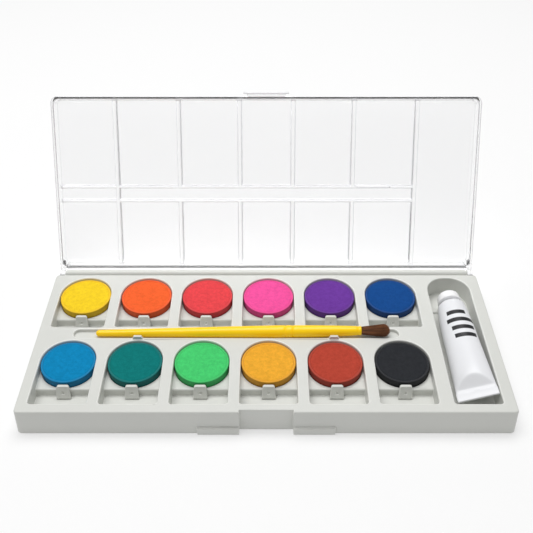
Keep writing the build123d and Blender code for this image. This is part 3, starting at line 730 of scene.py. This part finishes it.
@dataclass
class Brush:
    """The brush: handle, sleeve and hair, lying along X."""

    y: float = 2.9
    z: float = 17.4
    tilt: float = 0.79
    tip_x: float = -96.6
    belly_x: float = 5.0
    waist_x: float = 14.3
    mouth_x: float = 53.7
    tip_radius: float = 1.75
    belly_radius: float = 3.5
    waist_radius: float = 3.45
    mouth_radius: float = 2.55
    groove_depth: float = 0.22
    groove_reach: float = 0.5
    groove: tuple = ((-0.36, 0.0), (-0.24, 0.35), (-0.1, 0.95), (0.1, 0.95), (0.24, 0.35), (0.36, 0.0))
    tip_angles: tuple = (0.12, 0.35, 0.6, 0.85, 1.1, 1.35)
    handle_steps: int = 60
    handle_groove: float = 3.5
    sleeve_steps: int = 40
    sleeve_grooves: tuple[float, float] = (0.9, 1.9)
    hair_radius: float = 2.12
    spread: float = 4.05
    hair_length: float = 17.1
    shoulder: float = 12.8
    hair_root: float = 0.6
    hair_floor: float = -1.98
    hair_groove: float = 2.7
    strands: int = 1900
    strand_radius: float = 0.08
    strand_sides: int = 4
    strand_steps: int = 7
    strand_taper: float = 0.3
    shortest: float = 0.955
    fan_power: float = 0.92
    gather: float = 0.1
    gather_power: int = 7
    stray: float = 0.00022
    stray_turns: float = 71.0
    floor_give: float = 0.1
    seed: int = 7

    @property
    def pose(self) -> Matrix:
        """From the brush's own frame, bristles toward +X, to the model's, in metres."""
        place = Matrix.Translation(Vector((0.0, self.y, self.z)) * MM)
        return place @ Matrix.Rotation(radians(-self.tilt), 4, "Y")

    def laid(self, name: str, profile: Sequence[tuple[float, float]]) -> bpy.types.Object:
        """A turned piece of yellow lacquer, laid on the brush's axis."""
        bm = turned(profile, Vector(), "X", 48)
        bmesh.ops.transform(bm, matrix=self.pose, verts=bm.verts)
        return surface_object(name, bm, BRUSH_YELLOW)

    def handle_radius(self, x: float) -> float:
        """Radius of the handle between its tip and its waist."""
        if x < self.belly_x:
            share = (self.belly_x - x) / (self.belly_x - self.tip_x)
            return self.belly_radius - (self.belly_radius - self.tip_radius) * share ** 1.15
        share = (x - self.belly_x) / (self.waist_x - self.belly_x)
        return self.belly_radius - (self.belly_radius - self.waist_radius) * share ** 2

    def grooved(self, xs: list, radius: Callable[[float], float], grooves: Sequence[float]) -> list:
        """Profile points along the axis, with a fine rounded groove at each given x."""
        profile = [(radius(x), x) for x in xs if all(abs(x - g) > self.groove_reach for g in grooves)]
        for g in grooves:
            for offset, share in self.groove:
                profile.append((radius(g + offset) - self.groove_depth * share, g + offset))
        return sorted(profile, key=lambda point: point[1])

    def handle(self) -> bpy.types.Object:
        """The handle with its rounded tip."""
        start = self.tip_x + self.tip_radius
        radius = self.handle_radius(start)
        tip = [(radius * sin(a), start - radius * cos(a)) for a in self.tip_angles]
        steps = self.handle_steps
        xs = [start + (self.waist_x - 0.08 - start) * i / steps for i in range(steps + 1)]
        profile = tip + self.grooved(xs, self.handle_radius, (self.waist_x - self.handle_groove,))
        profile.append((self.waist_radius - 0.12, self.waist_x))
        return self.laid("brush_shaft", profile)

    def sleeve_radius(self, x: float) -> float:
        """Radius of the sleeve, which narrows faster toward its mouth."""
        share = (x - self.waist_x) / (self.mouth_x - self.waist_x)
        return self.mouth_radius + (self.waist_radius - self.mouth_radius) * (1 - share ** 1.8)

    def sleeve(self) -> bpy.types.Object:
        """The sleeve, with a turned ring at its mouth."""
        steps = self.sleeve_steps
        start = self.waist_x + 0.1
        xs = [start + (self.mouth_x - 0.25 - start) * i / steps for i in range(steps + 1)]
        profile = [(self.waist_radius - 0.14, self.waist_x + 0.01)]
        rear, front = self.sleeve_grooves
        profile += self.grooved(xs, self.sleeve_radius, (self.waist_x + rear, self.mouth_x - front))
        mouth = self.mouth_radius
        rim = ((0.04, 0.06), (0.14, 0.0), (0.24, 0.1), (0.25, 2.5))
        profile += [(mouth - inward, self.mouth_x - back) for inward, back in rim]
        return self.laid("brush_sleeve", profile)

    def hair_tree(self) -> bpy.types.NodeTree:
        """Geometry nodes that grow the hair: strands on a spiral of roots, spread towards a domed end."""
        tree = bpy.data.node_groups.new("hair_bundle", "GeometryNodeTree")
        graph = Graph(tree)
        floats = ("Root Radius", "Spread", "Length", "Shoulder", "Thickness", "Floor", "Groove")
        inputs = [(name, "Float") for name in floats]
        inputs += [("Count", "Int"), ("Seed", "Int"), ("Material", "Material")]
        for name, kind in inputs:
            tree.interface.new_socket(name=name, in_out="INPUT", socket_type=f"NodeSocket{kind}")
        tree.interface.new_socket(name="Geometry", in_out="OUTPUT", socket_type="NodeSocketGeometry")
        given = graph.add("NodeGroupInput", output="Root Radius")
        count = given.output("Count")
        index = graph.add("GeometryNodeInputIndex")
        share = ((index + 0.5) / count) ** 0.5
        angle = index * (pi * (3 - sqrt(5)))
        root_radius = share * given.output("Root Radius")
        beside = graph.math("COSINE", angle)
        above = graph.math("SINE", angle)
        root = graph.add("ShaderNodeCombineXYZ", None, {"Y": root_radius * beside, "Z": root_radius * above})
        points = graph.add("GeometryNodePoints", None, {"Count": count, "Position": root})
        limits = {"Min_001": 0.0, "Max_001": 1.0, "ID": index, "Seed": given.output("Seed")}
        chance = graph.add("FunctionNodeRandomValue", {"data_type": "FLOAT"}, limits, "Value_001")
        for name, value in (("share", share), ("beside", beside), ("above", above), ("strand", chance)):
            points = graph.add("GeometryNodeStoreNamedAttribute", {"data_type": "FLOAT", "domain": "POINT"},
                               {"Geometry": points, "Name": name, "Value": value})
        thickness = given.output("Thickness")
        strand = graph.add("GeometryNodeMeshCone", {"fill_type": "NGON"},
                           {"Vertices": self.strand_sides, "Side Segments": self.strand_steps,
                            "Radius Top": self.strand_taper * thickness, "Radius Bottom": thickness,
                            "Depth": 1.0})
        along_x = (0.0, pi / 2, 0.0)
        strand = graph.add("GeometryNodeTransform", None, {"Geometry": strand, "Rotation": along_x})
        dome = (1 - share * share) ** 0.5
        length = given.output("Shoulder") + (given.output("Length") - given.output("Shoulder")) * dome
        length = length * (self.shortest + (1 - self.shortest) * chance)
        scale = graph.add("ShaderNodeCombineXYZ", None, {"X": length, "Y": 1.0, "Z": 1.0})
        sockets = {"Points": points, "Instance": strand, "Scale": scale}
        grown = graph.add("GeometryNodeInstanceOnPoints", None, sockets)
        grown = graph.add("GeometryNodeRealizeInstances", None, {"Geometry": grown})
        place = graph.add("GeometryNodeInputPosition")
        split = graph.add("ShaderNodeSeparateXYZ", None, {"Vector": place})
        along = split.output("X") / given.output("Length")
        read = {name: graph.add("GeometryNodeInputNamedAttribute", {"data_type": "FLOAT"}, {"Name": name})
                for name in ("share", "beside", "above", "strand")}
        fan = along ** self.fan_power - self.gather * along ** self.gather_power
        reach = read["share"] * (given.output("Spread") - given.output("Root Radius")) * fan
        stray = self.stray * along * along * graph.math("SINE", self.stray_turns * read["strand"])
        y = split.output("Y") + (reach + stray) * read["beside"]
        z = split.output("Z") + (reach + stray) * read["above"]
        floor = given.output("Floor")
        outside = graph.math("GREATER_THAN", graph.math("ABSOLUTE", y), given.output("Groove"))
        lifted = graph.math("MAXIMUM", z, floor + self.floor_give * (z - floor))
        z = z + outside * (lifted - z)
        bent = graph.add("ShaderNodeCombineXYZ", None, {"X": split.output("X"), "Y": y, "Z": z})
        grown = graph.add("GeometryNodeStoreNamedAttribute", {"data_type": "FLOAT", "domain": "POINT"},
                          {"Geometry": grown, "Name": "along", "Value": along})
        grown = graph.add("GeometryNodeSetPosition", None, {"Geometry": grown, "Position": bent})
        material = given.output("Material")
        grown = graph.add("GeometryNodeSetMaterial", None, {"Geometry": grown, "Material": material})
        graph.add("NodeGroupOutput", None, {"Geometry": grown})
        return tree

    def hair(self) -> bpy.types.Object:
        """The hair as a plain mesh."""
        values = {
            "Root Radius": self.hair_radius * MM, "Spread": self.spread * MM,
            "Length": self.hair_length * MM, "Shoulder": self.shoulder * MM,
            "Thickness": self.strand_radius * MM, "Floor": self.hair_floor * MM,
            "Groove": self.hair_groove * MM, "Count": self.strands, "Seed": self.seed,
            "Material": BRUSH_HAIR.material(),
        }
        made = grow("brush_hair", self.hair_tree(), values)
        root = Vector((self.mouth_x - self.hair_root, 0.0, 0.0))
        made.data.transform(self.pose @ Matrix.Translation(root * MM))
        return made

    def build(self) -> None:
        """Builds and places the brush."""
        settle(self.handle(), "brush_body", "brush_yellow", "brush_handle")
        settle(self.sleeve(), "brush_body", "brush_yellow", "brush_ferrule")
        settle(self.hair(), "brush_body", "bristle", "brush_bristles")


def grow(name: str, tree: bpy.types.NodeTree, values: dict) -> bpy.types.Object:
    """Runs a geometry node tree and keeps what it makes as a plain mesh.

    Args:
        name: The piece's name.
        tree: The node tree.
        values: The tree's inputs by name.

    Returns:
        The new object, without any modifier.
    """
    carrier = bpy.data.objects.new(f"{name}_carrier", bpy.data.meshes.new(f"{name}_carrier"))
    bpy.context.scene.collection.objects.link(carrier)
    modifier = carrier.modifiers.new("grow", "NODES")
    modifier.node_group = tree
    for item in tree.interface.items_tree:
        if item.item_type == "SOCKET" and item.in_out == "INPUT":
            modifier[item.identifier] = values[item.name]
    evaluated = carrier.evaluated_get(bpy.context.evaluated_depsgraph_get())
    mesh = bpy.data.meshes.new_from_object(evaluated)
    mesh.name = name
    made = bpy.data.objects.new(name, mesh)
    bpy.context.scene.collection.objects.link(made)
    bpy.data.objects.remove(carrier)
    return made


@dataclass
class PaintTube:
    """The tube of white and its cap, lying in the tray's long well."""

    neck: Vector
    yaw: float = 1.5
    roll: float = 18.0
    radius: float = 8.1
    length: float = 63.7
    mid_share: float = 0.45
    mid_width: float = 19.4
    mid_height: float = 12.6
    crimp_width: float = 22.0
    crimp_length: float = 5.3
    crimp_thickness: float = 1.4
    crimp_step: float = 0.1
    flatten_power: float = 1.35
    end_power: int = 8
    side_push: float = 0.25
    facet_start: float = 0.88
    facet_end: float = 0.975
    facet_lead: float = 0.1
    facet_blend: float = 0.12
    shoulder: tuple = ((3.9, 3.7), (4.3, 3.6), (7.0, 0.95), (7.7, 0.45))
    body_steps: int = 90
    segments: int = 96
    print_radius: float = 8.505
    cap_gap: float = 3.85
    cap_length: float = 6.2
    cap_radius: float = 7.0

    @property
    def pose(self) -> Matrix:
        """From the tube's own frame, neck toward +Y, to the model's, in metres."""
        turn = Matrix.Rotation(radians(self.yaw), 4, "Z") @ Matrix.Rotation(radians(-self.roll), 4, "Y")
        return Matrix.Translation(self.neck * MM) @ turn

    @property
    def thin(self) -> float:
        """Half height of the body where the crimp begins."""
        return self.crimp_thickness / 2 - self.crimp_step

    def half_size(self, share: float) -> tuple[float, float]:
        """Half width and half height at a share of the body's length from the shoulder."""
        if share < self.mid_share:
            t = share / self.mid_share
            ease = t * (2 - t)
            width = self.radius + (self.mid_width / 2 - self.radius) * ease
            height = self.radius + (self.mid_height / 2 - self.radius) * t ** self.flatten_power
            return width, height
        t = (share - self.mid_share) / (1 - self.mid_share)
        width = self.mid_width / 2 + (self.crimp_width / 2 - self.crimp_step - self.mid_width / 2) * t
        height = self.thin + (self.mid_height / 2 - self.thin) * (1 - t ** self.end_power)
        return width, height

    def section(self, share: float) -> list[Vector]:
        """The ring of the body at a share of its length, with the folded facet near the crimp."""
        half_width, half_height = self.half_size(share)
        _, facet_height = self.half_size(self.facet_start)
        left = max(0.0, self.facet_end - share)
        facet = self.thin + (facet_height - self.thin) * left / (self.facet_end - self.facet_start)
        ring = []
        for angle in self.angles():
            x = half_width * cos(angle)
            z = half_height * abs(sin(angle)) ** (1.0 + self.side_push * share)
            if share > self.facet_start - self.facet_lead:
                z = soft_min(z, facet, self.facet_blend)
            ring.append(Vector((x, -share * self.length, z if sin(angle) >= 0 else -z)))
        return ring

    def body(self) -> bpy.types.Object:
        """The body, shoulder and crimp in one skin."""
        rings = []
        for radius, y in self.shoulder:
            rings.append([Vector((radius * cos(a), y, radius * sin(a))) for a in self.angles()])
        rings += [self.section(i / self.body_steps) for i in range(self.body_steps + 1)]
        half_width = self.crimp_width / 2
        half = self.crimp_thickness / 2
        end = self.crimp_length
        crimp = ((0.2, 0.3), (0.45, 0.25), (0.6, 0.0), (end - 0.5, 0.0), (end - 0.12, 0.15), (end, 0.5))
        for out, inward in crimp:
            ring = []
            for a in self.angles():
                x = half_width * max(-1.0, min(1.0, 1.02 * cos(a)))
                z = (half - inward) * max(-1.0, min(1.0, 3.0 * sin(a)))
                ring.append(Vector((x, -self.length - out, z)))
            rings.append(ring)

        def uv(i: int, j: int) -> tuple[float, float]:
            """Distance round the tube from its top line and along it, in hundreds of millimetres."""
            ring = rings[i]
            around = (j / self.segments - 0.25) * 2 * pi * self.print_radius
            return TOP_LINE - around / UV_SCALE, -ring[0].y / UV_SCALE

        bm = skin(rings, uv)
        bmesh.ops.transform(bm, matrix=self.pose, verts=bm.verts)
        return surface_object("tube_body", bm, TUBE_WHITE, 50)

    def angles(self) -> list[float]:
        """The angles of the points round a ring."""
        return [2 * pi * j / self.segments for j in range(self.segments)]

    def cap(self) -> bpy.types.Object:
        """The screw cap, with a moulded ring."""
        low = self.cap_gap
        high = low + self.cap_length
        radius = self.cap_radius
        profile = [
            (4.1, low + 3.8), (4.1, low + 0.3), (4.4, low), (radius - 0.35, low),
            (radius - 0.1, low + 0.12), (radius, low + 0.35), (radius, low + 2.0),
            (radius - 0.06, low + 2.15), (radius - 0.25, low + 2.3), (radius - 0.3, low + 2.5),
            (radius - 0.36, high - 1.6), (radius - 0.52, high - 0.8), (radius - 0.95, high - 0.25),
            (radius - 1.6, high - 0.03), (radius - 2.3, high),
        ]
        bm = turned(profile, Vector(), "Y", self.segments)
        bmesh.ops.transform(bm, matrix=self.pose, verts=bm.verts)
        return surface_object("tube_screw_cap", bm, CAP_WHITE, 50)

    def build(self) -> None:
        """Builds and places the tube and its cap."""
        settle(self.body(), "tube_body", "tube_white", "paint_tube")
        settle(self.cap(), "cap_body", "cap_white", "tube_cap")


def soft_min(a: float, b: float, blend: float) -> float:
    """The lesser of two values, rounded off where they meet."""
    share = max(blend - abs(a - b), 0.0) / blend
    return min(a, b) - share * share * blend / 4


@dataclass
class Studio:
    """Camera, floor, lamp and surroundings."""

    camera_place: Vector
    tilt: float = 50.0
    lens: float = 51.6
    floor_size: float = 6.0
    sky: float = 0.3
    lamp_place: tuple = (-0.15, 0.25, 1.4)
    lamp_size: tuple = (1.4, 0.8)
    lamp_power: float = 18.0

    def camera(self) -> None:
        """The camera at the photograph's viewing angle."""
        data = bpy.data.cameras.new("camera")
        data.lens = self.lens
        data.sensor_width = 36.0
        data.clip_start = 0.01
        made = bpy.data.objects.new("camera", data)
        made.location = self.camera_place
        made.rotation_euler = (radians(self.tilt), 0.0, 0.0)
        bpy.context.scene.collection.objects.link(made)
        bpy.context.scene.camera = made

    def floor(self) -> None:
        """A plain white floor."""
        bm = bmesh.new()
        bmesh.ops.create_grid(bm, x_segments=1, y_segments=1, size=self.floor_size / 2)
        surface_object("floor", bm, Backdrop("white_backdrop", (0.52, 0.52, 0.52)))

    def lamp(self) -> None:
        """One soft rectangular lamp overhead that faces the origin."""
        data = bpy.data.lights.new("key", "AREA")
        data.shape = "RECTANGLE"
        data.size, data.size_y = self.lamp_size
        data.energy = self.lamp_power
        made = bpy.data.objects.new("key", data)
        made.location = self.lamp_place
        made.rotation_euler = (-Vector(self.lamp_place)).to_track_quat("-Z", "Y").to_euler()
        bpy.context.scene.collection.objects.link(made)

    def surroundings(self) -> None:
        """Even white light from all round."""
        world = bpy.data.worlds.new("surroundings")
        world.use_nodes = True
        graph = Graph(world.node_tree)
        light = graph.add("ShaderNodeBackground", None, {"Color": (1.0, 1.0, 1.0), "Strength": self.sky})
        graph.add("ShaderNodeOutputWorld", None, {"Surface": light})
        bpy.context.scene.world = world

    def build(self) -> None:
        """Builds the whole studio."""
        self.camera()
        self.floor()
        self.surroundings()
        self.lamp()
        bpy.context.scene.view_settings.view_transform = "Standard"
        log.info("studio ready")


def main() -> None:
    """Builds the studio and every sub-assembly."""
    logging.basicConfig(level=logging.INFO, format="%(message)s")
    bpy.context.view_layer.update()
    Studio(CAMERA_PLACE).build()
    Tray().build()
    Lid().build()
    for row in Row:
        for number, paint in enumerate(row.paints, 1):
            PanStation(row, number, paint).build()
    Brush().build()
    PaintTube(TUBE_NECK).build()


if __name__ == "__main__":
    main()
